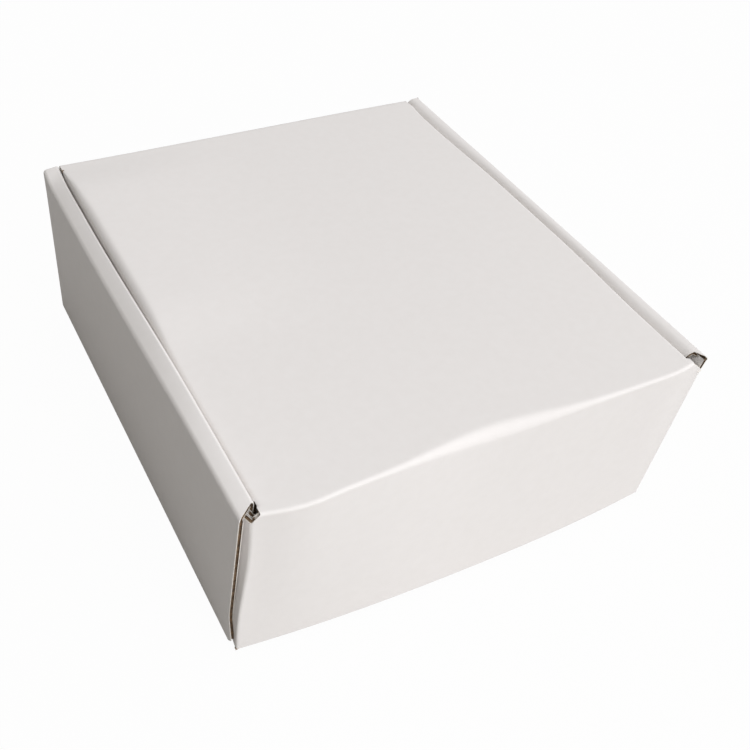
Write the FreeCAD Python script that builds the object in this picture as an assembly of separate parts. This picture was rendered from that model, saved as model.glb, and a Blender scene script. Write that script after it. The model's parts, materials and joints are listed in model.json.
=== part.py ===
import FreeCAD, Part
import math
import os

from FreeCAD import Vector

# A closed mailer box, cut and folded from one sheet of corrugated board
# X runs across the box, Y from the closure flap towards the lid's hinge, Z is up
# The origin is the middle of the whole box, on the surface that it stands on

# Outside of the closed box
box_width = 290.0
box_depth = 325.0
box_height = 120.0

# The board, and the outside radius of its creases: sharp, and rolled over softly
board = 2.5
crease_radius = 3.25
strip_roll = 5.0
wing_roll = 4.0

# Clearances between boards
slide_gap = 0.3
rest_gap = 0.2
wing_gap = 0.4
turn_gap = 0.2

# Side walls: each is an outer wall, a strip on top and an inner wall, folded from one panel
wall_setback = 1.2
strip_setback_outer = 3.4
strip_setback_inner = 8.4
strip_slope_height = 14.0
strip_rear_outer = 1.6
strip_rear_inner = 4.6
front_corner_depth = 10.7
front_corner_height = 7.7
rear_corner_depth = 3.0
rear_corner_height = 2.2

# Lock tabs under each inner wall, in slots through the bottom
tab_count = 2
tab_length = 38.0
tab_corner = 2.0
slot_gap = 0.4
tab_recess = 0.25

# Dust flaps, folded from the ends of the front and rear walls into the side walls
dust_length = 64.0
dust_slant = 7.0
dust_upper_corner = 9.0
dust_lower_corner = 4.5
dust_lift = 4.0

# Lid, with a wing down each side
lid_drop = 2.5
wing_depth = 72.0
wing_front_corner = 18.0
wing_rear_corner = 9.0
wing_rear_slant = 6.0

# Closure flap, hanging from the lid's front crease, with an ear back into each side wall
flap_lift = 3.0
flap_bow = 5.5
flap_corner_cut = 5.2
ear_roll_top = 6.0
ear_roll_foot = 3.0
ear_reach = 40.0

# Places that follow from the sizes above
half_width = box_width / 2
rear_y = (box_depth + flap_bow) / 2
front_y = rear_y - box_depth
ear_outer_x = half_width - board - slide_gap
dust_outer_x = ear_outer_x - board - slide_gap
dust_inner_x = dust_outer_x - board
inner_wall_x = dust_inner_x - rest_gap - board
lid_half = inner_wall_x - wing_gap
lid_top = box_height - lid_drop
hinge_y = rear_y - board / 2
hinge_z = lid_top - board / 2
flap_axis_y = front_y + board / 2
front_wall_y = front_y + board + slide_gap
front_wall_top = lid_top - board - slide_gap
inner_wall_foot = board + rest_gap
far = 2 * max(box_width, box_depth, box_height)


def across(u, v):
    """A point of a section that looks along Y."""
    return Vector(u, 0, v)


def endwise(u, v):
    """A point of a section that looks along X."""
    return Vector(0, u, v)


def plan(u, v):
    """A point of a section that looks along Z."""
    return Vector(u, v, 0)


def unit(a, b):
    """Direction from one 2D point to another."""
    length = math.hypot(b[0] - a[0], b[1] - a[1])
    return (b[0] - a[0]) / length, (b[1] - a[1]) / length


def bend(before, corner, after, radius, offset):
    """Ends and middle of the round bend at a corner, on a line kept at an offset to its left."""
    d1 = unit(before, corner)
    d2 = unit(corner, after)
    turn = math.atan2(d1[0] * d2[1] - d1[1] * d2[0], d1[0] * d2[0] + d1[1] * d2[1])
    side = 1 if turn > 0 else -1
    reach = radius * math.tan(abs(turn) / 2)
    centre = (corner[0] - d1[0] * reach - side * d1[1] * radius,
              corner[1] - d1[1] * reach + side * d1[0] * radius)
    swing = radius - side * offset
    points = []
    for share in (0, 0.5, 1):
        angle = turn * share
        nx = side * (d1[1] * math.cos(angle) + d1[0] * math.sin(angle))
        ny = side * (d1[1] * math.sin(angle) - d1[0] * math.cos(angle))
        points.append((centre[0] + swing * nx, centre[1] + swing * ny))
    return points


def line_edge(a, b, place):
    """Straight edge between two 2D points."""
    return Part.LineSegment(place(*a), place(*b)).toShape()


def arc_edge(points, place):
    """Round edge through three 2D points."""
    return Part.Arc(*[place(*point) for point in points]).toShape()


def board_side(corners, radii, offset, place):
    """Edges of one face of a folded board, and its two end points."""
    first = unit(corners[0], corners[1])
    last = unit(corners[-2], corners[-1])
    start = (corners[0][0] - first[1] * offset, corners[0][1] + first[0] * offset)
    end = (corners[-1][0] - last[1] * offset, corners[-1][1] + last[0] * offset)
    edges = []
    here = start
    for before, corner, after, radius in zip(corners, corners[1:], corners[2:], radii):
        points = bend(before, corner, after, radius, offset)
        edges.append(line_edge(here, points[0], place))
        edges.append(arc_edge(points, place))
        here = points[2]
    edges.append(line_edge(here, end, place))
    return edges, start, end


def folded_board(corners, rolls, place, run):
    """Board of even thickness, folded at the corners of its middle line and drawn along a run."""
    radii = [roll - board / 2 for roll in rolls]
    left, left_start, left_end = board_side(corners, radii, board / 2, place)
    right, right_start, right_end = board_side(corners, radii, -board / 2, place)
    caps = [line_edge(left_end, right_end, place), line_edge(left_start, right_start, place)]
    wire = Part.Wire(Part.__sortEdges__(left + right + caps))
    return Part.Face(wire).extrude(run)


def rounded_outline(points, place):
    """Closed outline through points of u, v and corner radius."""
    edges = []
    count = len(points)
    starts = []
    ends = []
    for i in range(count):
        before, corner, after = points[i - 1], points[i], points[(i + 1) % count]
        if corner[2] > 0:
            arc = bend(before[:2], corner[:2], after[:2], corner[2], 0)
            edges.append(arc_edge(arc, place))
            starts.append(arc[0])
            ends.append(arc[2])
        else:
            starts.append(corner[:2])
            ends.append(corner[:2])
    for i in range(count):
        edges.append(line_edge(ends[i], starts[(i + 1) % count], place))
    return Part.Face(Part.Wire(Part.__sortEdges__(edges)))


def slab(x0, x1, y0, y1, z0, z1):
    """Block between two corners."""
    return Part.makeBox(x1 - x0, y1 - y0, z1 - z0, Vector(x0, y0, z0))


def rod(radius, y, z, half_length):
    """Round bar along X about a crease."""
    return Part.makeCylinder(radius, 2 * half_length, Vector(-half_length, y, z), Vector(1, 0, 0))


def mirrored(shape):
    """The same shape on the other side of the box."""
    return shape.mirror(Vector(0, 0, 0), Vector(1, 0, 0))


def side_walls():
    """Bottom with a double wall rolled over on each side."""
    outer = half_width - board / 2
    inner = inner_wall_x + board / 2
    top = box_height - board / 2
    corners = [(-inner, inner_wall_foot), (-inner, top), (-outer, top), (-outer, board / 2),
               (outer, board / 2), (outer, top), (inner, top), (inner, inner_wall_foot)]
    rolls = [strip_roll, crease_radius, crease_radius, crease_radius, crease_radius, strip_roll]
    start = front_y + wall_setback
    length = rear_y - wall_setback - start
    walls = folded_board(corners, rolls, across, Vector(0, length, 0))
    walls.translate(Vector(0, start, 0))
    walls = walls.cut(strip_end_cut(front_y, 1, strip_setback_outer, strip_setback_inner))
    walls = walls.cut(strip_end_cut(rear_y, -1, strip_rear_outer, strip_rear_inner))
    walls = walls.cut(lower_corner_cut(front_y, 1, front_corner_depth, front_corner_height))
    walls = walls.cut(lower_corner_cut(rear_y, -1, rear_corner_depth, rear_corner_height))
    return walls


def strip_end_cut(end, way, outer_setback, inner_setback):
    """What is cut from the ends of both strips and inner walls, and from the outer walls above."""
    wall_face = half_width - board
    outline = [(wall_face, end - way * board, 0),
               (wall_face, end + way * outer_setback, 0),
               (inner_wall_x, end + way * inner_setback, 0),
               (inner_wall_x - board, end + way * inner_setback, 0),
               (inner_wall_x - board, end - way * board, 0)]
    prism = rounded_outline(outline, plan).extrude(Vector(0, 0, box_height))
    prism.translate(Vector(0, 0, board))
    slope = [(end - way * board, box_height - strip_slope_height, 0),
             (end + way * min(wall_setback, outer_setback), box_height - strip_slope_height, 0),
             (end + way * outer_setback, box_height, 0),
             (end + way * outer_setback, box_height + board, 0),
             (end - way * board, box_height + board, 0)]
    wedge = rounded_outline(slope, endwise).extrude(Vector(2 * far, 0, 0))
    wedge.translate(Vector(-far, 0, 0))
    return prism.fuse([mirrored(prism), wedge])


def lower_corner_cut(end, way, depth, height):
    """Slanted cut that frees the foot of the outer walls from the corner."""
    outline = [(end - way * board, -board, 0),
               (end + way * depth * (1 + board / height), -board, 0),
               (end - way * board, height * (1 + board / depth), 0)]
    wedge = rounded_outline(outline, endwise).extrude(Vector(2 * far, 0, 0))
    wedge.translate(Vector(-far, 0, 0))
    return wedge


def end_walls():
    """Bottom with the front and rear walls folded up from it."""
    front_middle = front_wall_y + board / 2
    corners = [(front_middle, front_wall_top), (front_middle, board / 2),
               (hinge_y, board / 2), (hinge_y, hinge_z)]
    flat_half = dust_outer_x - crease_radius
    walls = folded_board(corners, [crease_radius] * 2, endwise, Vector(2 * flat_half, 0, 0))
    walls.translate(Vector(-flat_half, 0, 0))
    return walls


def dust_flaps(wall_outer_y, way, top):
    """Upper part of a front or rear wall, with its two dust flaps folded into the side walls."""
    middle = wall_outer_y + way * board / 2
    flap_x = dust_outer_x - board / 2
    tip = wall_outer_y + way * dust_length
    corners = [(-flap_x, tip), (-flap_x, middle), (flap_x, middle), (flap_x, tip)]
    walls = folded_board(corners, [crease_radius] * 2, plan, Vector(0, 0, top - dust_lift))
    walls.translate(Vector(0, 0, dust_lift))
    outline = [(wall_outer_y - way * board, dust_lift - board, 0),
               (tip - way * dust_slant, dust_lift - board, 0),
               (tip, dust_lift + dust_slant, dust_lower_corner),
               (tip - way * dust_slant, top, dust_upper_corner),
               (wall_outer_y - way * board, top, 0)]
    profile = rounded_outline(outline, endwise).extrude(Vector(2 * far, 0, 0))
    profile.translate(Vector(-far, 0, 0))
    return walls.common(profile)


def tab_places():
    """Middle of each lock tab along the box."""
    start = front_y + strip_setback_inner
    length = rear_y - strip_rear_inner - start
    return [start + length * (i + 0.5) / tab_count for i in range(tab_count)]


def lock_tab(middle):
    """Tab under the inner wall, through its slot, with round lower corners."""
    half = tab_length / 2
    reach = inner_wall_foot + board
    outline = [(middle - half, reach, 0), (middle - half, tab_recess, tab_corner),
               (middle + half, tab_recess, tab_corner), (middle + half, reach, 0)]
    tab = rounded_outline(outline, endwise).extrude(Vector(board, 0, 0))
    tab.translate(Vector(inner_wall_x, 0, 0))
    return tab


def lock_slot(middle):
    """Slot through the bottom for a lock tab."""
    half = tab_length / 2 + slot_gap
    return slab(inner_wall_x - slot_gap, inner_wall_x + board + slot_gap,
                middle - half, middle + half, -board, inner_wall_foot - rest_gap / 2)


def tray():
    """Bottom, front, rear and double side walls, in one piece."""
    rear_flap_top = min(hinge_z, box_height - strip_roll - rest_gap)
    shape = side_walls().fuse([end_walls(),
                               dust_flaps(front_wall_y, 1, front_wall_top),
                               dust_flaps(rear_y, -1, rear_flap_top)])
    slots = [lock_slot(middle) for middle in tab_places()]
    tabs = [lock_tab(middle) for middle in tab_places()]
    shape = shape.cut(slots + [mirrored(slot) for slot in slots])
    shape = shape.fuse(tabs + [mirrored(tab) for tab in tabs])
    shape = shape.fuse(rod(board / 2, hinge_y, hinge_z, lid_half))
    return shape.removeSplitter()


def wing_outline():
    """Side view of a wing: its front edge follows the swing of the lid past the front wall."""
    swing = hinge_y - (front_wall_y + board + wing_gap)
    depth = hinge_z - (lid_top - wing_depth)
    rear = hinge_y - board - wing_gap
    foot_y = hinge_y - math.sqrt(swing ** 2 - depth ** 2)
    outline = [(front_y - board, lid_top + board, 0),
               (front_y - board, lid_top - board, 0),
               (hinge_y - swing, lid_top - board, 0),
               (foot_y, lid_top - wing_depth, wing_front_corner),
               (rear - wing_rear_slant, lid_top - wing_depth, wing_rear_corner),
               (rear, lid_top - board, 0),
               (rear_y + board, lid_top - board, 0),
               (rear_y + board, lid_top + board, 0)]
    profile = rounded_outline(outline, endwise).extrude(Vector(2 * far, 0, 0))
    profile.translate(Vector(-far, 0, 0))
    return profile


def lid():
    """Top panel between the strips, with a wing folded down inside each side wall."""
    edge = lid_half - board / 2
    foot = lid_top - wing_depth
    corners = [(-edge, foot), (-edge, lid_top - board / 2), (edge, lid_top - board / 2), (edge, foot)]
    shape = folded_board(corners, [wing_roll] * 2, across, Vector(0, hinge_y - flap_axis_y, 0))
    shape.translate(Vector(0, flap_axis_y, 0))
    shape = shape.common(wing_outline())
    turning = board * math.sqrt(0.5) + turn_gap
    shape = shape.cut([rod(turning, hinge_y, hinge_z, half_width),
                       rod(turning, flap_axis_y, hinge_z, half_width)])
    return shape.removeSplitter()


def flap_section(height, roll, bow):
    """Closure flap and ears seen from above, at one height, with the front face bowed forward."""
    reach = front_y + ear_reach
    flat = ear_outer_x - roll
    edges = []
    for inset in (0, board):
        x = ear_outer_x - inset
        y = front_y + inset
        diagonal = (roll - inset) * math.sqrt(0.5)
        turn_x = flat + diagonal
        turn_y = front_y + roll - diagonal
        for side in (-1, 1):
            edges.append(line_edge((side * x, reach), (side * x, front_y + roll), plan))
            edges.append(arc_edge([(side * x, front_y + roll), (side * turn_x, turn_y),
                                   (side * flat, y)], plan))
        if bow > 0:
            edges.append(arc_edge([(-flat, y), (0, y - bow), (flat, y)], plan))
        else:
            edges.append(line_edge((-flat, y), (flat, y), plan))
    for side in (-1, 1):
        edges.append(line_edge((side * ear_outer_x, reach), (side * (ear_outer_x - board), reach), plan))
    wire = Part.Wire(Part.__sortEdges__(edges))
    wire.translate(Vector(0, 0, height))
    return wire


def flap_corner_trim():
    """Slanted cut at the top of each side of the closure flap."""
    outline = [(lid_half, hinge_z + board, 0), (lid_half, hinge_z, 0),
               (lid_half + flap_corner_cut, hinge_z - flap_corner_cut, 0),
               (half_width, hinge_z - flap_corner_cut, 0), (half_width, hinge_z + board, 0)]
    prism = rounded_outline(outline, across).extrude(Vector(0, 2 * far, 0))
    prism.translate(Vector(0, -far, 0))
    return prism


def closure_flap():
    """Front flap of the lid, with an ear folded back inside each side wall."""
    foot = flap_section(flap_lift, ear_roll_foot, flap_bow)
    head = flap_section(hinge_z, ear_roll_top, 0)
    shape = Part.makeLoft([foot, head], True, True)
    swing_of_lid = hinge_y - (front_y + strip_setback_outer) + slide_gap
    swing_of_flap = hinge_z - board - slide_gap
    behind = slab(-far, far, front_wall_y - slide_gap / 2, far, 0, box_height)
    shape = shape.cut([rod(swing_of_lid, hinge_y, hinge_z, half_width),
                       behind.cut(rod(swing_of_flap, flap_axis_y, hinge_z, far)),
                       flap_corner_trim(), mirrored(flap_corner_trim())])
    shape = shape.fuse(rod(board / 2, flap_axis_y, hinge_z, lid_half))
    return shape.removeSplitter()


def main():
    os.makedirs("parts", exist_ok=True)
    nodes = {"tray": tray(), "lid": lid(), "closure_flap": closure_flap()}
    for name, shape in nodes.items():
        solid = shape.Solids[0]
        box = solid.BoundBox
        print(name, len(shape.Solids), solid.isValid(), round(solid.Volume / 1000, 1), "cm3",
              [round(v, 2) for v in (box.XMin, box.XMax, box.YMin, box.YMax, box.ZMin, box.ZMax)])
        solid.exportStep("parts/" + name + ".step")


main()
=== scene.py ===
import json
from math import cos, exp, pi, radians, sin, sqrt

import bmesh
import bpy
from bmesh.types import BMEdge, BMFace, BMVert
from bpy.props import FloatProperty, FloatVectorProperty, PointerProperty
from bpy.types import Operator, Panel, PropertyGroup
from mathutils import Matrix, Vector


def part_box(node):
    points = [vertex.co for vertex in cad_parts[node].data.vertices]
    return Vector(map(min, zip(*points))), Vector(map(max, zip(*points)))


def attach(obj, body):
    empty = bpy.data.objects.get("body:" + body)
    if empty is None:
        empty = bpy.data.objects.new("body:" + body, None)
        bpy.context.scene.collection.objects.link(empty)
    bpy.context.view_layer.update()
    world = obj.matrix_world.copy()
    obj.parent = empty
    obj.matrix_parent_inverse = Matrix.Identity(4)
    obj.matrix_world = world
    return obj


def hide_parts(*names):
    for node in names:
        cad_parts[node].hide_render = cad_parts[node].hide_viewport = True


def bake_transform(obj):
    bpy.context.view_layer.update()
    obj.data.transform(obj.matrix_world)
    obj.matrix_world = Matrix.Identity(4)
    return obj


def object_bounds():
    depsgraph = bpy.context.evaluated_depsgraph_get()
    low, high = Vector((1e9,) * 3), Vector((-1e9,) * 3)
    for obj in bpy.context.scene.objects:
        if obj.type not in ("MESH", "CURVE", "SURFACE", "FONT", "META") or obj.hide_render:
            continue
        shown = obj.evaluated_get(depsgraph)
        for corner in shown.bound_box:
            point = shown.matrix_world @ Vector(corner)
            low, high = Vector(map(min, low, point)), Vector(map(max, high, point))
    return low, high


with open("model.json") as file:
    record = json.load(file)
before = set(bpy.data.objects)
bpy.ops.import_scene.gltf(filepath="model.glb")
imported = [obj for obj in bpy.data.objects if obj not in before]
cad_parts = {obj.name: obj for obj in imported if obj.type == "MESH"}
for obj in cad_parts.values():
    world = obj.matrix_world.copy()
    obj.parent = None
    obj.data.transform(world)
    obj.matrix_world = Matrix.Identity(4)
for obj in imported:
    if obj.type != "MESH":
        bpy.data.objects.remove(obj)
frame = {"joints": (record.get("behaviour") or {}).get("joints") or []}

bl_info = {
    "name": "Mailer box",
    "version": (1, 0, 0),
    "blender": (4, 5, 0),
    "location": "3D View > Sidebar > Mailer box",
    "description": "Folds a mailer box from white corrugated board, with its paper finishes, light and floor",
    "category": "Add Mesh",
}

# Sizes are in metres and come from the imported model
MM = 0.001
CAD_LOW, CAD_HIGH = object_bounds()
LID_LOW, LID_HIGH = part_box("lid")
FLAP_LOW, FLAP_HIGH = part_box("closure_flap")
PIVOTS = {joint["name"]: Vector(joint["pos_m"]) for joint in frame["joints"]}
HINGE = PIVOTS["lid_hinge"]
CREASE = PIVOTS["flap_crease"]
HALF_WIDTH = CAD_HIGH.x
TOP = CAD_HIGH.z
REAR = CAD_HIGH.y
LID_HALF = LID_HIGH.x
LID_TOP = LID_HIGH.z
WING_FOOT = LID_LOW.z
EAR_X = FLAP_HIGH.x
FLAP_FOOT = FLAP_LOW.z
FRONT = CREASE.y - (LID_TOP - CREASE.z)
MIDDLE = Vector((0, (FRONT + REAR) / 2, TOP / 2))

# Distances from a crease at which a sheet is divided, so that it can roll over there
ROLL_STEPS = [step * MM for step in (0.5, 1.1, 1.8, 2.6, 3.6, 4.8, 6.2, 8, 10.5, 14)]

# Pieces of a round bend, length of a plain patch of a sheet, and how some straight runs are divided
BEND_PIECES = 6
PATCH = 8 * MM
WALL_ROWS = 14
CORNER_ROWS = 2
STRIP_COLUMNS = 2
HALF_BOTTOM_COLUMNS = 14
DUST_COLUMNS = 8
END_WALL_COLUMNS = 32
REAR_CREASE_ROWS = 4

# Points closer than MERGE are one point, and the others say how near a place is to count as there
MERGE = 1e-6
ON_LINE = 1e-5
HAIR = 0.01 * MM
ON_BOTTOM = 0.1 * MM
ON_STRIP = 0.1 * MM

# Lengths over which a moved end or edge takes its sheet along
FADE = 60 * MM
TOP_FADE = 30 * MM
CREASE_FADE = 20 * MM
ROLL_FADE = 14 * MM
EDGE_FADE = 3 * MM

# Tray: plays between boards, step down to the core, slant of its strips' ends, how fast these go over into
# the walls' ends, cuts at the walls' rear feet, and where the left strip's tilt starts and ends
FOOT_PLAY = 0.2 * MM
WALL_PLAY = 0.2 * MM
TAB_FOOT = 0.25 * MM
CORE_STEP = 0.02 * MM
SLANT_WIDTH = 9 * MM
RIGHT_SLANT_PACE = 2.1
END_PACE = 8
REAR_CUT_HEIGHT = 2.2 * MM
REAR_CUT_DEPTH = 1.8 * MM
TILT_START = 2 * MM
TILT_WIDTH = 8.5 * MM

# Front wall: how it gives way to the front crease and to the left ear
SINK_FROM = 0.6 * TOP
SINK_WIDTH = 6 * MM
UNDER_CREASE = 1.5 * MM
TUCK_FROM = 0.8
TUCK_PACE = 5
TUCK_TOP = 0.8 * TOP
TUCK_IN = 1.3
TUCK_DOWN = 1.2

# Rear: play above the wall's ends, and the crease with its outside radius and the notch at its right end
REAR_TIP_PLAY = 1.2 * MM
REAR_ROLL = 2.6 * MM
NOTCH_DEPTH = 0.9 * MM
NOTCH_SIZE = 5 * MM
CREASE_TIP = 4 * MM

# Lid: where its side creases are rolled, its wings' round corners with the angles of their cuts, and the
# power of the curve in which the closure flap's foot bows
ROLL_START = 5.6 * MM
SMALLEST_ROLL = 0.02
WING_SLANT = 3 * MM
WING_LOW = 20 * MM
WING_START = 4 * MM
FRONT_CORNER = 18 * MM
FRONT_ANGLES = range(186, 270, 14)
REAR_CORNER = 9 * MM
REAR_ANGLES = range(284, 360, 14)
BOW_POWER = 2.4

# Ears: plays to the lid and the strips, heights between which the left one flares, and the part of their
# cut edges that shows paper only
EAR_TOP_PLAY = 0.3 * MM
EAR_CLEAR = 3.4 * MM
EAR_FLARE = (0.15 * TOP, 0.8 * TOP)
EAR_TIP = 12 * MM

# Middle and width of soft humps: the left wall's toe by height, and the front crease's across the box
TOE = (5 * MM, 13 * MM)
CREASE_ROUND = (2 * MM, 45 * MM)
CREASE_MIDDLE = (-15 * MM, 50 * MM)
CREASE_ENDS = (140 * MM, 14 * MM)
CREASE_DENT = (-108 * MM, 14 * MM)

# Shares of the box's depth between which something grows, from the front or from the rear
SWELL = (0.12, 0.4)
RISE_FRONT = (0.34, 0.52)
RISE_REAR = (0.0, 0.12)
ROLL_REAR = (0.03, 0.2)
SPREAD_FRONT = (0.3, 0.75)
SPREAD_REAR = (0, 0.08)
DROP_FRONT = (0.2, 0.8)
DROP_REAR = (0.93, 1)
TILT_FRONT = (0.05, 0.5)
TILT_REAR = (0.95, 1)

# How much of the left side's tilt and drop is lost at the rear corner, and the shares of the lid's half
# width from which it spreads and rises, and of the box's height from which its right side swells
TILT_LOSS = 0.6
DROP_LOSS = 0.4
EDGE_FROM = 0.3
RISE_FROM = 0.1
SWELL_FROM = 0.3

# Places of the cut paper and of the core in a piece's list of papers, where the white face is first
EDGE, CORE = 1, 2

# Place of the large lamp in metres
KEY_PLACE = (0.18, -2.25, 2.65)


def length(name, description, default):
    """A size that a user can change, kept in metres."""
    return FloatProperty(name=name, description=description, default=default, unit="LENGTH", precision=5)


def number(name, description, default):
    """A plain number of 0 or more that a user can change."""
    return FloatProperty(name=name, description=description, default=default, min=0)


def colour(name, description, default):
    """A colour that a user can change."""
    return FloatVectorProperty(name=name, description=description, default=default, subtype="COLOR",
                               size=3, min=0, max=1)


class BoardSizes(PropertyGroup):
    board: length("Board", "Thickness of the corrugated board", 2.5 * MM)
    liner: length("Liner", "Thickness of each paper face at a cut edge", 0.42 * MM)
    sink: length("Core sink", "How far the core lies behind the faces at a cut edge", 0.9 * MM)
    crease: length("Crease", "Outside radius of a sharp crease", 3.25 * MM)
    strip_roll: length("Strip roll", "Outside radius of the right strip's inner crease", 6.3 * MM)
    strip_roll_left: length("Left strip roll", "Outside radius of the creases of the left strip", 2.2 * MM)
    sharp_roll: length("Sharp roll", "Outside radius of the right strip's outer crease", 1.3 * MM)
    gap: length("Gap", "Play between two boards that slide on each other", 0.3 * MM)
    strip_front_left: length("Left strip front", "How far its outer corner lies behind the front", 0.6 * MM)
    strip_front_right: length("Right strip front", "How far its outer corner lies behind the front", 2.2 * MM)
    strip_front_slant: length("Strip front slant", "How much further back its inner corner is", 7 * MM)
    strip_rear: length("Strip rear", "How far a strip's outer corner lies before the rear", 0.2 * MM)
    strip_rear_slant: length("Strip rear slant", "How much further in its inner corner is", 0.6 * MM)
    setback: length("Wall setback", "How far a side wall's end lies behind the front and rear", 1.2 * MM)
    setback_left: length("Left wall slant", "How much further back the left wall's front foot is", 9.4 * MM)
    setback_right: length("Right wall setback", "How far its front end lies behind the front", 3.2 * MM)
    toe: length("Left wall toe", "How far the left wall's end comes forward again near its foot", 6 * MM)
    corner_depth: length("Corner depth", "Length of the cut at a side wall's front foot", 15 * MM)
    corner_height: length("Corner height", "Height of the cut at a side wall's front foot", 7.7 * MM)
    dust_length: length("Dust flap", "Reach of the dust flaps into the side walls", 64 * MM)
    dust_slant: length("Dust flap slant", "Slant of a dust flap's tip", 7 * MM)
    dust_lift: length("Dust flap lift", "Gap under the dust flaps", 4 * MM)
    tab: length("Lock tab", "Length of a lock tab along the box", 38 * MM)
    tab_gap: length("Tab gap", "Gap between a lock tab and its slot", 0.4 * MM)
    wing_back: length("Wing setback", "How far a wing's front edge lies behind the front wall", 4.4 * MM)
    ear_reach: length("Ear reach", "How far an ear runs back at its foot", 40 * MM)
    ear_top: length("Ear top reach", "How far an ear runs back at its top", 8 * MM)
    ear_roll_left: length("Left ear roll", "Outside radius of the closure flap's left corner", 1.4 * MM)
    ear_roll_right: length("Right ear roll", "Outside radius of the closure flap's right corner", 2.6 * MM)
    ear_in: length("Ear top", "How far the left ear starts inside its layer at the top", 3.9 * MM)
    ear_out_left: length("Left ear foot", "How far it starts outside its layer at its foot", 1.2 * MM)
    ear_out_right: length("Right ear", "How far the right ear starts outside its layer", 2.2 * MM)
    ear_back_left: length("Left ear depth", "How far back the left ear reaches its layer", 12 * MM)
    ear_back_right: length("Right ear depth", "How far back the right ear reaches its layer", 3 * MM)
    slope_left: number("Left slope", "Fall of the slanted cut at the flap's left top corner", 1.2)
    slope_right: number("Right slope", "Fall of the slanted cut at the flap's right top corner", 0.8)


class Settling(PropertyGroup):
    lean_right: length("Right lean", "How far the right wall's foot stands in", 3.8 * MM)
    lean_front: length("Front lean", "How far the front wall's foot stands in", 4.2 * MM)
    left_drop: length("Left drop", "How far the left side wall has sunk at the rear", 5 * MM)
    left_tilt: length("Left tilt", "How much lower the left strip's outer crease is at the rear", 3.9 * MM)
    left_tilt_front: length("Left tilt front", "How much lower that crease is in front", 1 * MM)
    left_out: length("Left spread", "How far the lid's left edge stands out at the rear", 0.4 * MM)
    left_gap: length("Left gap", "How much further out the left strip stands at the rear", 0.5 * MM)
    right_out: length("Right spread", "How far the lid's right edge stands out at mid length", 2.7 * MM)
    lid_rise: length("Left rise", "How far the lid's left edge stands up towards the rear", 2.2 * MM)
    lid_tilt: length("Right rise", "How far the lid's right edge stands up", 2.4 * MM)
    lid_roll: length("Lid roll", "Radius of the lid's side creases", 2.7 * MM)
    lid_roll_rear: length("Lid roll rear", "Radius of the lid's left crease towards the rear", 5.3 * MM)
    front_roll: length("Front roll", "Radius of the front crease at its ends", 1.8 * MM)
    front_roll_middle: length("Front roll middle", "Radius of the front crease in its middle", 7 * MM)
    crease_out: length("Front crease shift", "How far the front crease stands forward", 1.5 * MM)
    crease_back_middle: length("Front crease middle", "How much further back it lies in its middle", 3.2 * MM)
    crease_dent: length("Front crease dent", "How far it stands forward near its left end", 1.4 * MM)
    crease_corner: length("Front crease corner", "How far it is pulled back at its ends", 3.1 * MM)
    flap_bow: length("Flap bow", "How far the closure flap's foot bows forward", 6.1 * MM)


class PaperColours(PropertyGroup):
    white: colour("White", "Paper face of the board", (0.760, 0.728, 0.706))
    shade: colour("Shade", "Darker patches of the paper face", (0.740, 0.707, 0.683))
    edge: colour("Cut face", "Cut edge of the paper faces", (0.640, 0.590, 0.500))
    kraft: colour("Kraft", "Brown core paper", (0.230, 0.150, 0.085))
    # Painted shade: a darker brown mixed into the core in random patches, standing for the shade in the
    # flutes' hollows
    kraft_hollow_shade: colour("Kraft dark", "Hollows of the core", (0.085, 0.055, 0.035))
    sky_dim: colour("Dim sky", "Light from the sides where it is weak", (1.0, 0.93, 0.80))
    sky_bright: colour("Bright sky", "Light from the sides where it is strong", (0.94, 0.96, 1.0))
    floor: colour("Floor", "Pale floor", (0.56, 0.55, 0.53))


class StageSettings(PropertyGroup):
    key: FloatProperty(name="Key light", description="Power of the large lamp", default=54, min=0,
                       unit="POWER")
    key_size: length("Key size", "Width of the large lamp", 2.2)
    sky: number("Sky", "Strength of the light from all round", 0.60)
    sky_slope: FloatVectorProperty(name="Sky slope", default=(0.80, -0.60, 0.18), size=3,
                                   description="How the light grows to the right, rear and top")
    floor_size: length("Floor size", "Width of the floor", 12.0)
    floor_glow: FloatProperty(name="Floor glow", description="Share of the floor that shows plain white",
                              default=0.97, min=0, max=1)


def of_kind(made, kind):
    """The vertices, edges or faces among what an operator made."""
    return [item for item in made if isinstance(item, kind)]


def run_on(bm, vert, offset, pieces=1):
    """Draws a straight run on from a vertex in equal pieces, and returns its last vertex."""
    for _ in range(pieces):
        vert = bmesh.ops.extrude_vert_indiv(bm, verts=[vert])["verts"][0]
        bmesh.ops.translate(bm, verts=[vert], vec=Vector(offset) / pieces)
    return vert


def bend_on(bm, vert, centre, axis, degrees):
    """Draws a round bend on from a vertex, and returns its last vertex."""
    made = bmesh.ops.spin(bm, geom=[vert], cent=centre, axis=axis, dvec=(0, 0, 0), angle=radians(degrees),
                          steps=BEND_PIECES, use_merge=False, use_duplicate=False)
    return of_kind(made["geom_last"], BMVert)[0]


def draw_out(bm, edges, offsets):
    """Draws edges out into a sheet, one row of faces for each offset, and returns the last edges."""
    for offset in offsets:
        made = bmesh.ops.extrude_edge_only(bm, edges=edges)["geom"]
        edges = of_kind(made, BMEdge)
        bmesh.ops.translate(bm, verts=of_kind(made, BMVert), vec=offset)
    return edges


def rows(total, direction, near_start=(), near_end=()):
    """Offsets that add up to a length, close together where the sheet will be rolled or cut."""
    stops = [0.0] + list(near_start)
    last = total - (near_end[-1] if near_end else 0)
    count = max(1, round((last - stops[-1]) / PATCH))
    first = stops[-1]
    stops += [first + (last - first) * (i + 1) / count for i in range(count)]
    stops += [total - step for step in reversed(near_end[:-1])]
    stops += [total] if near_end else []
    return [Vector(direction) * (b - a) for a, b in zip(stops, stops[1:])]


def edges_where(bm, test):
    """Open edges of a sheet whose middles pass a test."""
    return [edge for edge in bm.edges
            if len(edge.link_faces) < 2 and test((edge.verts[0].co + edge.verts[1].co) / 2)]


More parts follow.
